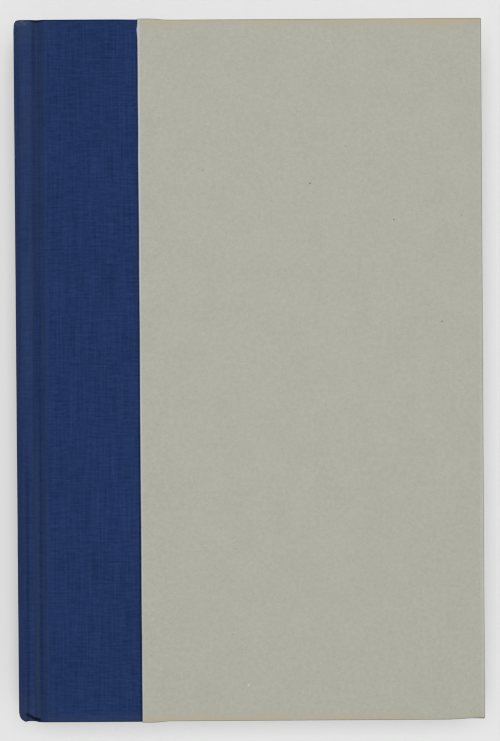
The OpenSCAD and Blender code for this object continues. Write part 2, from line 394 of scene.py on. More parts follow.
def makeBookCloth(name):
    look = clothLook
    cloth = Finish(name, Roughness=0.9, Specular_IOR_Level=0.05)
    thread = threads(cloth, look["warp"], look["weft"])
    down = cloth.flat.stretched(*look["down"]).speckle(1.0, 3.0, 0.6)
    across = cloth.flat.stretched(*look["across"]).speckle(1.0, 3.0, 0.6)
    slub = cloth.flat.stretched(*look["slub"]).speckle(1.0, 2.0, 0.6)
    cloudy = cloth.here.speckle(40.0, 3.0, 0.55)
    tone = thread * look["threadTone"] + down * look["downTone"] + across * look["acrossTone"]
    tone = tone + slub * look["slubTone"] + cloudy * look["cloudTone"] + look["middleTone"]
    colour = tone.clamped().mixed(look["deep"], look["light"])
    grain = cloth.here.speckle(900.0, 2.0, 0.7) + 0.5
    # worn places, and painted highlight on the groove's slopes and the ridge's side, take the rubbed
    # colour
    rubAndHighlight = cloth.painted("rubbedAndLit") * (0.35 + 1.1 * grain) * (0.6 + 0.8 * thread)
    colour = rubAndHighlight.maths("MINIMUM", 1.0).mixed(colour, look["rubbedAndLit"])
    colour = (cloth.painted("frayed") * grain.between(0.35, 0.7)).mixed(colour, look["frayed"])
    # painted shade along the cloth's ends, beside the paper's edge and in the joint's lines, with dirt in
    # the fold
    colour = cloth.painted("shadeAndDirt").mixed(colour, look["dark"])
    cloth.set("Base Color", cloth.flecked(colour, look["lintSpots"], look["lint"]))
    cloth.bump(thread + 0.8 * down + 0.8 * across, look["weaveDepth"], 0.9)
    return cloth.material


paperLook = {
    "dark": shade(162, 161, 149), "light": shade(187, 187, 175),
    # pale is a painted highlight along the rounded rim of the fore-edge
    "toned": shade(183, 172, 143), "brown": shade(140, 130, 108), "pale": shade(220, 217, 204),
    "cloudTone": 0.25, "mottleTone": 0.6, "fibreTone": 0.8, "middleTone": 0.5,
    "wander": 0.005,  # how unevenly the toned bands at head and tail end
    "tailBand": 3.4, "tailTone": 0.6, "foreFade": 0.6, "fadeFrom": 0.050, "fadeTo": 0.064,
    "headBand": 4.0, "headTone": (0.5, 0.35), "headFrom": 0.020, "headTo": 0.075,
    "cut": shade(184, 187, 199), "cutWidth": 0.6,  # the pale edge that is cut over the cloth
    "flecks": (
        (shade(92, 86, 78), ((97.75, 64.05, boardOut, 0.5), (142.85, 16.35, boardOut, 0.44),
                             (126.5, 51.4, boardOut, 0.42))),
        (shade(150, 148, 138), ((149.7, 52.9, boardOut, 0.45), (60.9, 68.8, boardOut, 0.5),
                                (70.4, -90.8, boardOut, 0.45), (110.0, 76.7, boardOut, 0.5),
                                (71.5, -61.3, boardOut, 0.42))),
        (shade(206, 205, 196), ((75.7, -108.3, boardOut, 0.56),)),
    ),
}


def makeSidePaper(name):
    look = paperLook
    paper = Finish(name, Roughness=0.75, Specular_IOR_Level=0.3)
    x, y = paper.here.axis("X"), paper.here.axis("Y")
    cloudy = paper.here.speckle(110.0, 3.0, 0.6)
    mottle = paper.here.speckle(600.0, 3.0, 0.65)
    fibre = paper.here.stretched(1, 1.5, 1).speckle(1300.0, 2.0, 0.7)
    tone = cloudy * look["cloudTone"] + mottle * look["mottleTone"] + fibre * look["fibreTone"]
    colour = (tone + look["middleTone"]).clamped().mixed(look["dark"], look["light"])
    wander = paper.here.speckle(60.0, 2.0, 0.5) * look["wander"]
    tail = 1 - (y + wander).between(-halfBoard * mm, (look["tailBand"] - halfBoard) * mm)
    foreEnd = 1 - look["foreFade"] * x.between(look["fadeFrom"], look["fadeTo"])
    head = (y - wander).between((halfBoard - look["headBand"]) * mm, halfBoard * mm)
    least, more = look["headTone"]  # the band at the head grows towards the fore-edge
    head = head * (least + more * x.between(look["headFrom"], look["headTo"]))
    colour = (tail * foreEnd * look["tailTone"]).mixed(colour, look["toned"])
    colour = head.mixed(colour, look["toned"])
    # painted highlight along the fore-edge's rounded rim
    colour = paper.painted("pale").mixed(colour, look["pale"])
    worn = paper.painted("worn") * (0.7 + paper.here.speckle(420.0, 2.0, 0.6))
    colour = worn.mixed(colour, look["brown"])
    cutEdge = 1 - paper.flat.axis("X").between(0.75 * look["cutWidth"], 1.25 * look["cutWidth"])
    patchy = (paper.here.speckle(140.0, 3.0, 0.6) + 0.5).between(0.26, 0.44)
    colour = (cutEdge * patchy * 0.9).mixed(colour, look["cut"])
    for fleck, spots in look["flecks"]:
        colour = paper.flecked(colour, spots, fleck)
    paper.set("Base Color", colour)
    paper.bump(fibre * 0.6 + mottle * 0.5, 0.00003, 0.5)
    return paper.material


def makePlainPaper(name, light, dark, scale, depth=0.00002, rough=0.8, stretch=(1, 1, 1)):
    paper = Finish(name, Roughness=rough, Specular_IOR_Level=0.25)
    fibre = paper.here.stretched(*stretch).speckle(scale, 4.0, 0.65)
    cloudy = paper.here.speckle(70.0, 2.0, 0.5)
    paper.set("Base Color", (fibre * 0.8 + cloudy * 0.5 + 0.5).mixed(dark, light))
    paper.bump(fibre, depth, 0.6)
    return paper.material


def makePages(name):
    pages = Finish(name, Roughness=0.85, Specular_IOR_Level=0.2)
    lines = pages.here.stretched(0.01, 0.01, 1).speckle(9000.0, 2.0, 0.6)
    bands = pages.here.stretched(0.05, 0.05, 1).speckle(700.0, 2.0, 0.5)
    dust = pages.here.speckle(150.0, 3.0, 0.6)
    tone = lines * 0.9 + bands * 0.5 + dust * 0.4 + 0.55
    pages.set("Base Color", tone.mixed(shade(205, 196, 172), shade(236, 229, 210)))
    pages.bump(lines, 0.00004, 0.5)
    return pages.material


def makeWoven(name, light, dark, spacing, depth):
    woven = Finish(name, Roughness=0.85, Specular_IOR_Level=0.2)
    thread = threads(woven, spacing, spacing)
    woven.set("Base Color", (thread * 0.8 + woven.here.speckle(300.0) * 0.3 + 0.1).mixed(dark, light))
    woven.bump(thread, depth)
    return woven.material


def makeThread(name, colour, deep):
    thread = Finish(name, Roughness=0.5, Sheen_Weight=0.2)
    twist = thread.here.speckle(1500.0, 2.0, 0.6) + 0.5
    thread.set("Base Color", twist.mixed(deep, colour))
    thread.bump(twist, 0.00004, 0.6)
    return thread.material


clothFinish = makeBookCloth("blueBookCloth")
sideFinish = makeSidePaper("greySidePaper")
endFinish = makePlainPaper("endpaperStock", shade(236, 231, 218), shade(225, 219, 203), 420.0)
pageFinish = makePages("trimmedPages")
boardFinish = makePlainPaper("millboard", shade(168, 152, 126), shade(142, 126, 101), 380.0,
                             depth=0.00006, rough=0.9)
kraftFinish = makePlainPaper("kraftLining", shade(186, 150, 108), shade(164, 128, 88), 300.0,
                             depth=0.00003, stretch=(1, 0.3, 1))
mullFinish = makeWoven("gluedMull", shade(226, 221, 206), shade(190, 182, 160), 0.9, 0.00012)
tapeFinish = makeWoven("bandTape", shade(228, 224, 212), shade(196, 190, 174), 0.5, 0.00006)
blueThread = makeThread("blueThread", shade(44, 62, 112), shade(26, 38, 78))
paleThread = makeThread("paleThread", shade(232, 228, 214), shade(204, 197, 178))
print("finishes made")

carriedOver = {"spine_lining": kraftFinish, "front_board": boardFinish, "back_board": boardFinish}
for node, finish in carriedOver.items():
    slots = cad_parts[node].data.materials
    slots.clear()
    slots.append(finish)

# The spine is worn in at its two ends, and the card in it follows

spineWear = {
    "head": (0.1, 0.8), "tail": (0.3, 1.3),  # how far in, and how far along, each end is rounded off
    "lean": 0.3, "leanFrom": (0.5, 2.8),  # how far it leans at its ends, and where behind the joint
}


def wornIn(x, y):  # how far a point of the spine is pushed in towards the leaves
    across, along = spineWear["head" if y > 0 else "tail"]
    t = 1 - share(halfCloth - abs(y), 0, along)
    lean = spineWear["lean"] * y / halfCloth * ramp(-x, *spineWear["leanFrom"])
    return across * (1 - math.sqrt(1 - t * t)) * share(-x, 0, ridgeR) - lean


# Cloth over the spine, through the joint and on to a board

bendReach = 0.4  # the cloth's section has a point this far on each side of a hinge line

clothCut = {
    "roundEdge": 0.35,  # how softly the cloth turns over head and tail
    # how finely each part is divided
    "ridgeSteps": 10, "grooveSteps": 7, "bendSteps": 5, "climbSteps": 7,
    "edgeSteps": 2, "boardSteps": 15, "seamSteps": 5, "nearSeam": 1.0, "foldSteps": 12,
    "ends": (0, 0.3, 0.6, 0.9, 1.2, 1.5, 1.8, 2.1, 2.4, 2.7, 3.1, 3.6, 4.4, 5.6, 7, 9, 12, 16, 21, 28),
    "middleRows": 24, "tuckedRows": (1.2, 3, 6, 10, 14.6),
    "foldAllowance": 1.0, "spareLength": 2.0,  # what turning over an end takes of the flat cloth
    "cardTaper": 1.6,  # the card ends this far after the spine
    "landing": 2.0,  # where the cloth lies flat again, past the edge of the board
    # an end stands out where no board holds it
    "headMore": 0.1, "headStand": 0.22, "tailStand": 0.24, "standMost": 1.1,
    "flushFrom": 9, "flushTo": 1,  # and is level with the paper's end again this far from the seam
    # the fold draws the tail in, and the spine's own end stands out less
    "tailIn": 0.3, "drawn": ((-1.6, 0), (2.2, 3.6)), "tailSpine": 0.07, "tailRise": (1, 3),
    "ridgeLift": 0.5, "lifted": ((0.5, 2.3), (2.7, 3.8)),  # the pressed ridge is wide
    "unevenness": 0.05, "unevenSize": 9.0, "seeds": {"front": 1.7, "back": 8.3},
    "slack": 0.01,  # each sheet is thinner than its solid by this much
}

# wear of the cloth, and where shade and highlight are painted on it
clothWearAndLighting = {  # x from the hinge line, y from the middle, or how far from an end
    # the fold in the joint, dented and painted dark with shade and dirt: x, then how far from the tail
    "foldFrom": (-0.7, 2.5), "foldTo": (3.4, 0.2), "foldWide": 0.8, "foldDeep": 0.3, "foldShadeAndDirt": 0.95,
    # the line beside the ridge's top, in the lower half, dented and painted with shade
    "bendX": -0.25, "bendY": (12, 45), "bendWide": 1.0, "bendDeep": 0.24, "bendShade": 0.3,
    "softLine": 0.1, "dentEnd": (0.4, 1.6),  # where both are full, and where they fade out at an end
    "patchSize": 11.0,
    "ridgeX": ((-2.8, -1.8), (2.6, 3.2)), "ridgeY": (-60, 10), "ridgeRub": 0.45,
    "cornerEnd": (4, 14), "cornerX": (2, 12), "cornerZ": (4, 11), "cornerRub": 0.7,
    # painted highlight on the two slopes of the groove, and on the lower half of the ridge's side
    "boardSlope": (4.2, 5.2), "ridgeSlope": (1.4, 2.4), "upperHalf": (0, 60), "slopeEnd": (6.6, 7.2),
    "slopeHighlight": 0.3,
    "shineX": 2.8, "shineWide": (0.3, 1.1), "lowerHalf": (0, 40), "shineHighlight": 0.7,
    "tailEnd": (0.8, 4), "tailX": (2, 4), "tailRub": 0.4,
    "frayEnd": (0.4, 2.2), "frayX": (-1.5, 3.5), "fray": 0.8,
    "rimEnd": (0.1, 0.45), "rimX": (-1.5, 3), "rimShade": (0.75, 0.5),  # painted shade along the turned edge, at the head, at the tail
    "paperFrom": 0.75, "paperTo": 0.3, "paperShadow": 0.5,  # painted shadow on the cloth beside the paper's edge
}


def clothSection():  # the cloth's outer side, and where its turned-in end lies inside each point
    cut = clothCut
    edgeX, edgeZ, edgeR = joint + book["softEdge"], boardOut - book["softEdge"], book["softEdge"] + clothT
    away, up = edgeX - grooveX, edgeZ - grooveMidZ
    climb = math.atan2(up, away) + math.asin((grooveR + edgeR) / math.hypot(away, up))
    angle = math.degrees(climb)
    landX, topZ = joint + cut["landing"], boardOut + clothT
    line = spineLine(0)
    turns = (180 - spineA, ridgeAngle(-bendReach), ridgeAngle(bendReach), 90 - ogee)
    for first, last in zip(turns, turns[1:]):
        line += curve(0, ridgeZ, ridgeR, first, last, cut["ridgeSteps"])
    line += curve(grooveX, grooveMidZ, grooveR, 270 - ogee, 270, cut["grooveSteps"])
    bottom = len(line) - 1
    line += curve(grooveX, grooveMidZ, grooveR, 270, 270 + angle, cut["bendSteps"])
    line += straight(*line[-1], edgeX - edgeR * math.sin(climb), edgeZ + edgeR * math.cos(climb),
                     cut["climbSteps"])
    line += curve(edgeX, edgeZ, edgeR, 90 + angle, 90, cut["bendSteps"])
    line += straight(edgeX, topZ, landX, topZ, cut["edgeSteps"])
    landed = len(line) - 1
    line += straight(landX, topZ, seamX - cut["nearSeam"], topZ, cut["boardSteps"])
    line += straight(seamX - cut["nearSeam"], topZ, seamX, topZ, cut["seamSteps"])
    line += straight(seamX, topZ, clothX, topZ, cut["edgeSteps"])
    run, inner = lengths(line), []
    spineRun = spineR * math.radians(spineA)
    for n, ((x, z), (nx, nz)) in enumerate(zip(line, facing(line))):
        if n <= bottom:  # the card inside ends at the ridge, and the turned-in end comes up there
            depth = 2 * clothT + book["inlay"] * fade(run[n], spineRun, spineRun + cut["cardTaper"])
            inner.append((x - nx * depth, z - nz * depth))
        else:
            t = share(run[n], run[bottom], run[landed])
            inner.append((x if t == 1 else grooveX + t * (landX - grooveX), boardIn - clothT))
    line = [(x, z + cut["ridgeLift"] * hump(x, *cut["lifted"])) for x, z in line]
    return line, inner, run


def foldAt(x, gone):  # 1 on the dark fold at the tail of the joint, 0 away from it
    (x0, g0), (x1, g1) = clothWearAndLighting["foldFrom"], clothWearAndLighting["foldTo"]
    along = ((x - x0) * (x1 - x0) + (gone - g0) * (g1 - g0)) / ((x1 - x0) ** 2 + (g1 - g0) ** 2)
    along = share(along, 0, 1)
    away = math.hypot(x - x0 - along * (x1 - x0), gone - g0 - along * (g1 - g0))
    return fade(away, clothWearAndLighting["softLine"], clothWearAndLighting["foldWide"])


def bendAt(x, y):  # the same for the line that opening the cover has left beside the ridge
    away = abs(x - clothWearAndLighting["bendX"])
    return ramp(-y, *clothWearAndLighting["bendY"]) * fade(away, clothWearAndLighting["softLine"], clothWearAndLighting["bendWide"])


def clothRows():  # rows over the flat middle, then each end's rows: to the edge, over it and back inside
    clearY = halfCloth - clothCut["ends"][-1]
    rows = [("flat", 0, y) for y in evenly(-clearY, clearY, clothCut["middleRows"])[1:-1]]
    for end in (1, -1):
        side = [("end", end, e) for e in reversed(clothCut["ends"])]
        side += [("fold", end, t) for t in evenly(0, 1, clothCut["foldSteps"])[1:]]
        side += [("tucked", end, t) for t in clothCut["tuckedRows"]]
        rows = rows + side if end > 0 else side[::-1] + rows
    return rows


def rowOnFlatCut(kind, end, value):  # where a row lies on the cloth as it was cut
    foldRun = math.pi * clothCut["roundEdge"] + clothCut["foldAllowance"]
    if kind == "flat":
        return value
    if kind == "end":
        return end * (halfCloth - value)
    return end * (halfCloth + (value * foldRun if kind == "fold" else foldRun + value))


def clothLimit(x, z, end):  # where the cloth ends at the head or the tail
    cut = clothCut
    deep = max(0, boardOut + clothT - z)
    if end > 0:
        more = min(cut["standMost"], cut["headMore"] + cut["headStand"] * deep)
        return halfCloth + more * fade(x, seamX - cut["flushFrom"], seamX - cut["flushTo"])
    drawn = cut["tailIn"] * hump(x, *cut["drawn"])
    slope = cut["tailSpine"] + (cut["tailStand"] - cut["tailSpine"]) * ramp(x, *cut["tailRise"])
    return halfCloth + min(cut["standMost"], slope * deep) - drawn


def roundTheEnd(kind, end, value, limit, deep):  # how far through the turned-in edge a row is, and its y
    r = min(clothCut["roundEdge"], deep / 2)
    limit -= r
    if kind == "end":
        first = clothCut["ends"][-1]
        return 0.0, end * (limit - value * (limit - halfCloth + first) / first)
    if kind == "tucked":
        inside = limit - (halfBoard - book["turnIn"])
        return 1.0, end * (limit - value * inside / clothCut["tuckedRows"][-1])
    quarter = math.pi * r / 2
    path = value * (2 * quarter + deep - 2 * r)
    if path < quarter:
        return r * (1 - math.cos(path / r)) / deep, end * (limit + r * math.sin(path / r))
    if path < quarter + deep - 2 * r:
        return (r + path - quarter) / deep, end * (limit + r)
    a = (2 * quarter + deep - 2 * r - path) / r
    return 1 - r * (1 - math.cos(a)) / deep, end * (limit + r * math.sin(a))


def makeCloth(name, front, seed):
    line, inner, run = clothSection()
    rows, ways = clothRows(), facing(line)

    def put(i, j):
        (x, z), (nx, nz), (ix, iz) = line[i], ways[i], inner[i]
        kind, end, value = rows[j]
        through, y = 0.0, value
        if kind != "flat":
            through, y = roundTheEnd(kind, end, value, clothLimit(x, z, end), math.hypot(x - ix, z - iz))
        sx, sz = x + (ix - x) * through, z + (iz - z) * through
        if through == 0:
            lift = clothCut["unevenness"] * ripple(run[i], y, clothCut["unevenSize"], seed)
            lift *= ramp(abs(x), 0.3, 2.0) * ramp(seamX - x, 0, 4) * ramp(run[i], 0, 4)  # none at a join
            if front:
                fold = clothWearAndLighting["foldDeep"] * foldAt(x, halfCloth + y)
                bend = clothWearAndLighting["bendDeep"] * bendAt(x, y)
                lift -= max(fold, bend) * ramp(halfCloth - abs(y), *clothWearAndLighting["dentEnd"])
            sx, sz = sx + nx * lift, sz + nz * lift
        return place(sx + wornIn(x, y), y, sz, front)

    across = run if front else [-r for r in run]
    down = [rowOnFlatCut(*row) for row in rows]
    piece = makeSheet(name, across, down, put, clothT - clothCut["slack"], front)
    paintCloth(piece, front, seed)
    return piece, run[-1]


def rubbedAndLitAt(x, y, z, gone, patch):  # how far handling has rubbed the cloth, with painted highlight on its slopes, from 0 to 1
    wearAndLighting = clothWearAndLighting
    ridge = hump(x, *wearAndLighting["ridgeX"]) * (0.35 + 0.65 * ramp(y, *wearAndLighting["ridgeY"])) * (0.2 + 0.8 * patch)
    corner = fade(gone, *wearAndLighting["cornerEnd"]) * fade(x, *wearAndLighting["cornerX"])
    corner *= ramp(z, *wearAndLighting["cornerZ"]) * (0.4 + 0.6 * patch)
    # painted highlight on the groove's slopes and on the lower half of the ridge's side
    slope = max(ramp(x, *wearAndLighting["boardSlope"]), ramp(x, *wearAndLighting["ridgeSlope"]) * ramp(y, *wearAndLighting["upperHalf"]))
    slope *= fade(x, *wearAndLighting["slopeEnd"])
    shine = fade(abs(x - wearAndLighting["shineX"]), *wearAndLighting["shineWide"]) * ramp(-y, *wearAndLighting["lowerHalf"])
    tail = fade(gone, *wearAndLighting["tailEnd"]) * ramp(x, *wearAndLighting["tailX"]) if y < 0 else 0.0
    outside = ramp(z, boardIn, boardIn + 0.6) if x > 2 else 1.0
    return outside * max(ridge * wearAndLighting["ridgeRub"], corner * wearAndLighting["cornerRub"], slope * wearAndLighting["slopeHighlight"],
                         shine * wearAndLighting["shineHighlight"], tail * wearAndLighting["tailRub"])


def shadeAndDirtAt(x, y, gone, front):  # how dark painted shade makes it at the ends, beside the paper and in the joint's lines, with dirt in the fold
    wearAndLighting = clothWearAndLighting
    rim = fade(gone, *wearAndLighting["rimEnd"]) * wearAndLighting["rimShade"][0 if y > 0 else 1] * ramp(x, *wearAndLighting["rimX"])
    underPaper = ramp(x, seamX - wearAndLighting["paperFrom"], seamX - wearAndLighting["paperTo"]) * wearAndLighting["paperShadow"]
    fold = wearAndLighting["foldShadeAndDirt"] * foldAt(x, gone) if front and y < 0 else 0.0
    bend = wearAndLighting["bendShade"] * bendAt(x, y) if front else 0.0
    return max(rim, underPaper, fold, bend)


def paintCloth(piece, front, seed):
    wearAndLighting, marks = clothWearAndLighting, {"rubbedAndLit": [], "frayed": [], "shadeAndDirt": []}
    for vertex in piece.data.vertices:
        x, y = vertex.co.x / mm + middleX, vertex.co.y / mm
        z = (vertex.co.z / mm - coverZ) * (1 if front else -1)
        gone = halfCloth - abs(y)
        patch = 0.5 + 0.5 * ripple(x * 2, y, wearAndLighting["patchSize"], seed + 3)
        torn = fade(gone, *wearAndLighting["frayEnd"]) * fade(x, *wearAndLighting["frayX"])
        marks["rubbedAndLit"].append(rubbedAndLitAt(x, y, z, gone, patch))
        marks["frayed"].append(wearAndLighting["fray"] * torn if y > 0 and front else 0.0)
        marks["shadeAndDirt"].append(shadeAndDirtAt(x, y, gone, front))
    for name, values in marks.items():
        paint(piece, name, values)


print("shaping the cloth")
cutLength = 2 * (halfCloth + book["turnIn"] + clothCut["spareLength"])
clothNodes = {"front": ("spine_cloth", "front_cloth"), "back": ("back_cloth",)}
for word, front in sides:
    body = word + "_cover"
    piece, halfWidth = makeCloth(word + "_book_cloth", front, clothCut["seeds"][word])
    piece.data.materials.append(clothFinish)
    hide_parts(*clothNodes[word])
    halfWidth * mm
    cutLength * mm
    place(-bendReach, 0, hingeZ, front)
    place(bendReach, 0, hingeZ, front)
    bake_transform(piece)

# The card inside the spine

cardCut = {"fromEnd": (0, 0.3, 0.6, 1, 1.5, 2.1, 2.8, 3.6, 4.6, 8, 30, 60, 90), "slack": 0.01}


def makeCard(name):
    line = wholeSpine(spineLine(clothT))
    ys = bothWays([halfBoard - e for e in cardCut["fromEnd"]] + [0])

    def put(i, j):
        return place(line[i][0] + wornIn(line[i][0], ys[j]), ys[j], line[i][1])

    return makeSheet(name, lengths(line), ys, put, book["inlay"] - cardCut["slack"], True)


card = makeCard("spine_card")
card.data.materials.append(boardFinish)
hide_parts("spine_inlay")
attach(card, "block")

# Grey paper on the sides

sideCut = {
    "fromSeam": (0, 0.35, 0.7, 1.2, 2, 3, 4, 5, 6.2, 7.6, 9.2, 12, 17, 24, 34, 46, 58, 70, 82),
    "fromFore": (0, 1.2, 2.6, 4.2, 6.2, 8.8, 12, 16.5, 24),
    "fromEnd": (0, 0.9, 2, 3.2, 4.6, 6.4, 9, 13, 19, 27, 37, 48, 60, 72, 84, 96, 108),
    "roundEdge": 0.2, "roundSteps": 3,
    "turnSteps": (0.02, 0.3, 1.0), "mitre": 0.25,  # how far the cut ends of a turn-in lie from the corner
    "stepDown": 6.0,  # how far past the cloth's edge the paper comes down on to the board
    # how the cut edge over the cloth leans and wanders, and where, how long and how far it is nicked
    "seamIn": 0.1, "seamLean": 0.2, "seamWave": 0.10,
    "notches": ((116.8, 2.3, -0.3), (71, 2.6, -0.16), (27, 3.0, -0.14)),
    "bumpWidth": 12.0, "bumpEnd": 5.0, "bumpDepth": 0.75, "bumpSpread": 0.5, "bumpFlare": 0.3,
    "slack": 0.005, "seeds": {"front": 4.1, "back": 9.6},
}

# wear of the paper, and the highlight painted along its fore-edge
sideWearAndHighlight = {  # level is 1 on the cover's outside and 0 under the board
    # where the painted highlight lies on the fore-edge's rounded rim, and how strong it is
    "rimFrom": 0.6, "rimTo": 0.1, "rimLevel": (0.5, 0.9), "rimY": (-30, 60),
    "rimFade": 0.7, "rimHighlight": 0.3,
    "cornerX": 6, "cornerY": 4, "headCorner": 0.35, "tailCorner": 0.2,
    "edgeBrown": 0.25, "edgeLevel": (0.5, 0.8),
    "bumpBrown": 0.9, "bumpLevel": (0.88, 0.98), "bumpFore": (0.2, 0.7),
}

# the paper's outer faces: over the board and under it, at its fore-edge and at its ends
sideTop, sideLow = boardOut + sideT, boardIn - sideT
sideX, sideY = boardX + sideT, halfBoard + sideT
near = 0.01  # a point that is this close to an edge is on it


def overCloth(x):  # how much of the cloth's thickness the paper still stands on
    return fade(x, clothX, clothX + sideCut["stepDown"])


def seamShift(y, seed, front):  # how far the edge over the cloth is out of line
    shift = sideCut["seamIn"] - sideCut["seamLean"] * y / halfBoard
    shift += sideCut["seamWave"] * (ripple(0, y, 22.0, seed) + 0.5 * ripple(0, y, 5.0, seed + 2))
    for at, long, deep in sideCut["notches"] if front else ():
        shift += deep * fade(abs(y - at), 0, long)
    return shift


def layPaper(name):  # a flat sheet, drawn down over three edges of the board and turned in under it
    r = sideCut["roundEdge"]
    rimX, rimY = sideX - r, sideY - r
    columns = list(sideCut["fromSeam"]) + [rimX - seamX - e for e in reversed(sideCut["fromFore"])]
    rows = bothWays([rimY - e for e in sideCut["fromEnd"]] + [0])
    piece = layFlat(name, columns, rows, lambda i, j: Vector((seamX + columns[i], rows[j], sideTop)))

    def onRim(a, b):
        return min(a.x, b.x) > rimX - near or (min(abs(a.y), abs(b.y)) > rimY - near and a.y * b.y > 0)

    turns = [math.radians(a) for a in evenly(0, 90, sideCut["roundSteps"])]
    path = [(r * math.sin(a), r * (1 - math.cos(a))) for a in turns[1:]] + [(r, (sideTop - sideLow) / 2)]
    path += [(r * math.cos(a), sideTop - sideLow - r + r * math.sin(a)) for a in turns]
    selectEdges(piece, onRim)
    for away, down in path:
        nextX, nextY = sideX - r + away, sideY - r + away
        drawOut(piece, lambda x, y, z: (
            nextX if x > rimX - near else x,
            math.copysign(nextY, y) if abs(y) > rimY - near else y,
            sideTop - down))
        rimX, rimY = nextX, nextY

    for way in (1, -1, 0):  # head, tail and fore-edge, with the ends of each turn-in cut to a mitre
        def onSide(a, b):
            atSide = min(a.y * way, b.y * way) > rimY - near if way else min(a.x, b.x) > rimX - near
            return max(a.z, b.z) < sideLow + near and atSide

        selectEdges(piece, onSide)
        for part in sideCut["turnSteps"]:
            move = part * (book["turnIn"] + sideT - r)
            cut = move + sideCut["mitre"]
            drawOut(piece, lambda x, y, z: (
                min(x, rimX - cut) if way else rimX - move,
                way * (rimY - move) if way else math.copysign(min(abs(y), rimY - cut), y),
                z))

    flat = piece.data.uv_layers["flat"]
    for loop in piece.data.loops:
        x, y, z = piece.data.vertices[loop.vertex_index].co
        flat.data[loop.index].uv = (x - seamX, y)
    return piece


def wearAndHighlightPaper(piece, front, seed):  # lifts it over the cloth, bumps its corner, wears its edges and paints a highlight on its fore-edge's rim
    wearAndLighting, worn, pale = sideWearAndHighlight, [], []
    for vertex in piece.data.vertices:
        x, y, z = vertex.co
        level = share(z, sideLow, sideTop)
        stepUp = clothT * overCloth(x)
        z += stepUp * (1 if level > 0.8 else -1 if level < 0.2 else 0)  # out on both faces of the board
        y += math.copysign(stepUp * share(abs(y), sideY - sideCut["roundEdge"], sideY), y)
        if x < seamX + near:
            x += seamShift(y, seed, front)
        toFore = share(x, sideX - sideCut["bumpWidth"], sideX)
        toEnd = ramp(abs(y), sideY - sideCut["bumpEnd"], sideY)
        # painted highlight along the rounded rim of the fore-edge, fainter towards the head
        rim = ramp(x, sideX - wearAndLighting["rimFrom"], sideX - wearAndLighting["rimTo"]) * ramp(level, *wearAndLighting["rimLevel"])
        rim *= 1 - wearAndLighting["rimFade"] * share(y, *wearAndLighting["rimY"])
        corner = ramp(x, sideX - wearAndLighting["cornerX"], sideX) * ramp(abs(y), sideY - wearAndLighting["cornerY"], sideY)
        brown = wearAndLighting["edgeBrown"] * fade(level, *wearAndLighting["edgeLevel"])
        brown += corner * wearAndLighting["headCorner" if y > 0 else "tailCorner"]
        if front and y < 0:
            bumped = toFore * fade(level, *wearAndLighting["bumpLevel"]) * ramp(toFore, *wearAndLighting["bumpFore"])
            brown += wearAndLighting["bumpBrown"] * bumped
            y += toFore * toEnd * (sideCut["bumpDepth"] * level - sideCut["bumpSpread"] * (1 - level))
            x += sideCut["bumpFlare"] * (1 - level) * corner
        worn.append(brown * (0.75 + 0.5 * ripple(x, y, 5.0, seed + 5)))
        pale.append(wearAndLighting["rimHighlight"] * rim * (0.8 + 0.5 * ripple(x, y, 9.0, seed + 8)))
        vertex.co = place(x, y, z, front)
    paint(piece, "worn", worn)
    paint(piece, "pale", pale)


print("turning in the side papers")
for word, front in sides:
    piece = layPaper(word + "_grey_paper")
    wearAndHighlightPaper(piece, front, sideCut["seeds"][word])
    if not front:
        turnFacesOver(piece)
    finishWith(piece, "SOLIDIFY", thickness=(sideT - sideCut["slack"]) * mm, offset=-1)
    smooth(piece)
    piece.data.materials.append(sideFinish)
    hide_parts(word + "_side_paper")
    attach(piece, word + "_cover")

# Leaves

leafCut = {
    "count": 200, "gap": 0.004,
    "trim": 0.035, "endTrim": 0.6, "seed": 31,  # how far the cut edges are out of line, less at the ends
    "bendSteps": 11, "flatShares": (0.02, 0.3, 0.6, 1), "flatFrom": 0.5,
}


def blockTop(x):  # the height of the block of leaves over its middle
    if x <= 0:
        return hingeZ - blockDepth
    r = ridgeR - blockDepth
    if x <= r * math.sin(math.radians(ogee)):
        return ridgeZ + math.sqrt(r * r - x * x)
    r = grooveR + blockDepth
    if x < grooveX:
        return grooveMidZ - math.sqrt(r * r - (grooveX - x) ** 2)
    return book["pagesThick"] / 2


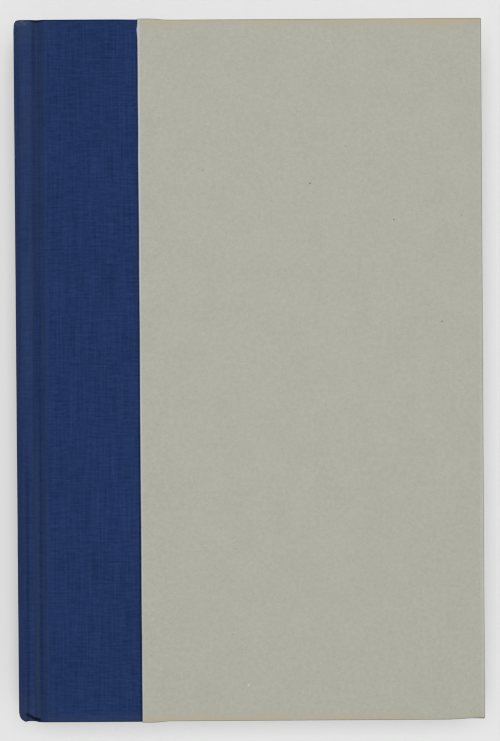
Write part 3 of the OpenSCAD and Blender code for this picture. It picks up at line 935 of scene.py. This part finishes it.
def makeLeaves(name):
    count = leafCut["count"]
    flatStart = grooveX + leafCut["flatFrom"]
    steps = [(0, t) for t in evenly(0, 1, leafCut["bendSteps"])]  # part 0 bends at the spine
    steps += [(1, t) for t in leafCut["flatShares"]]
    bpy.ops.object.select_all(action="DESELECT")
    bpy.ops.mesh.primitive_grid_add(x_subdivisions=len(steps) - 1, y_subdivisions=1, size=2)
    piece = bpy.context.object
    piece.name = piece.data.name = name
    finishWith(piece, "SOLIDIFY", thickness=0.5, offset=1)
    finishWith(piece, "ARRAY", count=count, use_relative_offset=False, use_constant_offset=True,
               constant_offset_displace=(0, 0, 1))
    random.seed(leafCut["seed"])
    cuts = [[random.gauss(0, leafCut["trim"]) for side in range(3)] for leaf in range(count)]
    for vertex in piece.data.vertices:  # leaf n lies from n to n + 0.5
        leaf = math.floor(vertex.co.z + 0.25)
        upper = vertex.co.z - leaf > 0.25
        t = 2 * (leaf + upper) / count - 1
        middle = 2 * (leaf + 0.5) / count - 1
        spineEnd = spineX - math.sqrt(blockR ** 2 - (middle * blockTop(0)) ** 2)
        hollowIn = math.sqrt(blockR ** 2 - (middle * book["pagesThick"] / 2) ** 2)
        foreEnd = spineX + book["pageWidth"] - hollowIn
        part, way = steps[round((vertex.co.x + 1) / 2 * (len(steps) - 1))]
        first, last = (flatStart, foreEnd + cuts[leaf][0]) if part else (spineEnd, flatStart)
        x = first + way * (last - first)
        cut = cuts[leaf][1 if vertex.co.y > 0 else 2] * leafCut["endTrim"]
        gap = leafCut["gap"] * (-1 if upper else 1)
        vertex.co = place(x, math.copysign(halfPage + cut, vertex.co.y), t * blockTop(x) + gap)
    smooth(piece, 30)
    piece.data.materials.append(pageFinish)
    return piece


print("stacking the leaves")
leaves = makeLeaves("leaves")
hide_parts("text_block")
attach(leaves, "block")

# Endpapers

endCut = {
    "slope": 1.2, "slopeSteps": (1, 0.67, 0.33, 0),  # where it comes down off what lies under it
    "fromBoard": (-1.6, 0, 1.6, 6, 12, 18), "nearFore": 6,
    "fromCloth": (0, 1, 2, 3, 4, 5, 6, 12, 20, 32, 46, 60, 74, 86),
    "middleRows": (0, 12, 24, 36, 48, 60, 72, 84, 94, 100), "endRows": (108, 113),
    "flySteps": 9, "foldOut": 0.14, "foldSteps": 14, "foldSlack": 0.02, "slack": 0.005, "rows": 24,
}


def liningThick(x, y):  # what lies between the board and the endpaper pasted over it
    slope = endCut["slope"]
    mullEnd, foreTurn = joint + book["mullOnBoard"], boardX - book["turnIn"]
    nearEnd = ramp(abs(y), halfBoard - book["turnIn"] - slope, halfBoard - book["turnIn"])
    underCloth = nearEnd * clothT if x <= clothX else 0
    lapped = nearEnd * (sideT + clothT * overCloth(x)) * ramp(x, seamX - slope, seamX)
    overMull = clothT * fade(x, mullEnd, mullEnd + slope)
    return max(overMull, sideT * ramp(x, foreTurn - slope, foreTurn), underCloth, lapped)


def makePastedown(name, front):
    slope, parts = endCut["slope"], endCut["slopeSteps"]
    marks = [joint + x for x in endCut["fromBoard"]]
    for mark in (joint + book["mullOnBoard"] + slope, seamX):
        marks += [mark - slope * t for t in parts]
    marks += [clothX + x for x in endCut["fromCloth"]]
    marks += [boardX - book["turnIn"] - slope * t for t in parts] + [foreX - endCut["nearFore"], foreX]
    points = jointLine(pasteDepth) + [(x, None) for x in marks]
    ends = [halfBoard - book["turnIn"] - slope * t for t in parts]
    ys = bothWays([*endCut["middleRows"], *ends, *endCut["endRows"], halfPage])

    def put(i, j):
        x, z = points[i]
        return place(x, ys[j], boardIn - liningThick(x, ys[j]) - endT if z is None else z, front)

    run = lengths([(x, boardIn if z is None else z) for x, z in points])
    return makeSheet(name, run, ys, put, endT - endCut["slack"], not front)


leafYs = evenly(-halfPage, halfPage, endCut["rows"])
flyLine = jointLine(leafDepth) + [(x, leafZ) for x in evenly(grooveX, foreX, endCut["flySteps"])[1:]]
foldLow, foldHigh = hingeZ - leafDepth, hingeZ - pasteDepth
# the fold joins a flyleaf to the leaf pasted to the cover
foldLine = [(-endCut["foldOut"] * math.sin(a),
             (foldLow + foldHigh) / 2 - (foldHigh - foldLow) / 2 * math.cos(a))
            for a in evenly(0, math.pi, endCut["foldSteps"])]

print("pasting down the endpapers")
for word, front in sides:
    body = word + "_cover"
    pasted = makePastedown(word + "_pasted_leaf", front)
    flyleaf = sweep(word + "_free_leaf", flyLine, leafYs, endT - endCut["slack"], front, front)
    fold = sweep(word + "_gutter_fold", foldLine, leafYs, endT - endCut["foldSlack"], not front, front)
    for piece in (pasted, flyleaf, fold):
        piece.data.materials.append(endFinish)
    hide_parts(word + "_pastedown")
    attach(pasted, body)
    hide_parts(word + "_flyleaf")
    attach(flyleaf, "block")
    place(0, 0, foldLow, front)
    place(0, 0, foldHigh, front)
    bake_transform(fold)

# Mull, glued over the folds of the leaves and out through the joints

mullCut = {
    "glued": 0.985, "spineSteps": 12,  # the part of the spine's bend that it is glued to
    "landing": 114, "landingSteps": 4,  # then it spans to the shoulder, and lands at this angle
    "spanSteps": 5, "onBoard": (-1.6, 0, 7.4, 15.4), "clear": 0.005, "rows": 20, "slack": 0.02,
}
mullNodes = {"front": ("mull", "front_mull_flange"), "back": ("back_mull_flange",)}
mullLine = spineLine(mullDepth, mullCut["glued"], mullCut["spineSteps"])
shoulder = curve(0, ridgeZ, ridgeR - clothT, mullCut["landing"], 90, mullCut["landingSteps"])
mullLine += straight(*mullLine[-1], *shoulder[0], mullCut["spanSteps"])[:-1]
mullLine += shoulder + jointLine(clothT)[1:]
mullLine += [(joint + x, boardIn - mullCut["clear"]) for x in (*mullCut["onBoard"], book["mullOnBoard"])]
mullYs = evenly(-mullHeight / 2, mullHeight / 2, mullCut["rows"])
mullWidth = lengths(mullLine)[-1]

print("gluing on the mull")
for word, front in sides:
    body = word + "_cover"
    piece = sweep(word + "_mull_sheet", mullLine, mullYs, mullT - mullCut["slack"], front, front)
    piece.data.materials.append(mullFinish)
    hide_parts(*mullNodes[word])
    mullHeight * mm
    place(-bendReach, 0, hingeZ, front)
    place(bendReach, 0, hingeZ, front)
    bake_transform(piece)

# Headbands

bandCut = {
    "wraps": 62, "thread": 0.30, "swell": 1.25, "lean": 0.06,  # the windings fill each other's gaps
    "tapeSteps": 8, "tapeRows": 6, "slack": 0.02,
}


def makeBand(name, end):
    beadR = spineR - max(foldDepth, turnedDepth + book["hingeGap"] + book["bead"] / 2)
    reach = math.radians(spineA)
    wraps, thread = bandCut["wraps"], bandCut["thread"]
    rings = []
    for n in range(wraps):
        a = reach * (2 * (n + 0.5) / wraps - 1)
        bpy.ops.object.select_all(action="DESELECT")
        bpy.ops.mesh.primitive_torus_add(
            major_segments=10, minor_segments=5, major_radius=(book["bead"] - thread) / 2 * mm,
            minor_radius=thread / 2 * mm * bandCut["swell"], rotation=(bandCut["lean"] * end, a, 0),
            location=place(spineX - beadR * math.cos(a), end * beadY, beadR * math.sin(a)))
        ring = bpy.context.object
        ring.data.materials.append(blueThread if n // 2 % 2 else paleThread)
        rings.append(ring)
    line = wholeSpine(spineLine(mullDepth, 1.0, bandCut["tapeSteps"]))
    ys = [end * (beadY - book["tape"] * t) for t in evenly(1, 0, bandCut["tapeRows"])]
    tape = sweep(name, line, ys, mullT - bandCut["slack"], end > 0)
    tape.data.materials.append(tapeFinish)
    only(tape)
    for ring in rings:
        ring.select_set(True)
    bpy.ops.object.join()
    bpy.ops.object.transform_apply(location=True, rotation=True, scale=True)
    return tape


print("winding the headbands")
for end, name, node in ((1, "head_band", "headband"), (-1, "tail_band", "tailband")):
    piece = makeBand(name, end)
    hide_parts(node)
    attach(piece, "block")

# Floor, light and camera

studio = {
    "height": 0.42,  # the camera over the front cover
    "frameHeight": 0.2544, "turn": -0.34, "aside": (1.30, -0.17),
    "floor": (0.80, 0.81, 0.80), "floorSize": 4,
    "sky": 0.4, "lamp": 8.9, "lampAt": (0.0, 0.1, 1.2), "lampSize": 0.7,
}

bpy.ops.object.select_all(action="DESELECT")
bpy.ops.mesh.primitive_plane_add(size=studio["floorSize"])
floor = bpy.context.object
floor.name = "floor"
floor.is_shadow_catcher = True
floorFinish = Finish("paleFloor", Roughness=0.9)
floorFinish.shader.inputs["Base Color"].default_value = (*studio["floor"], 1)
floor.data.materials.append(floorFinish.material)

world = bpy.data.worlds.new("softRoom")
bpy.context.scene.world = world
world.use_nodes = True
sky = Wire(world.node_tree)
seen = sky.node("LightPath", None, None, "Is Camera Ray")
lit = sky.node("Background", None, {"Color": (1, 1, 1, 1), "Strength": studio["sky"]})
shown = sky.node("Background", None, {"Color": (*studio["floor"], 1), "Strength": 1.0})
both = sky.node("MixShader", None, {0: seen, 1: lit, 2: shown})
world.node_tree.links.new(both.socket, world.node_tree.nodes["World Output"].inputs["Surface"])

bpy.ops.object.light_add(type="AREA", location=studio["lampAt"])
lamp = bpy.context.object
lamp.name = "topLight"
lamp.data.shape = "RECTANGLE"
lamp.data.size = lamp.data.size_y = studio["lampSize"]
lamp.data.energy = studio["lamp"]
lamp.rotation_euler = (-Vector(studio["lampAt"])).to_track_quat("-Z", "Y").to_euler()

bpy.ops.object.camera_add()
camera = bpy.context.object
camera.name = "copyCamera"
camera.data.sensor_width = 36.0
camera.data.lens = camera.data.sensor_width * studio["height"] / studio["frameHeight"]
camera.location = (studio["aside"][0] * mm, studio["aside"][1] * mm, 2 * coverZ * mm + studio["height"])
camera.rotation_euler = (0, 0, math.radians(studio["turn"]))
camera.data.clip_start, camera.data.clip_end = 0.01, 10
bpy.context.scene.camera = camera
bpy.context.scene.view_settings.view_transform = "Standard"

print("scene ready")
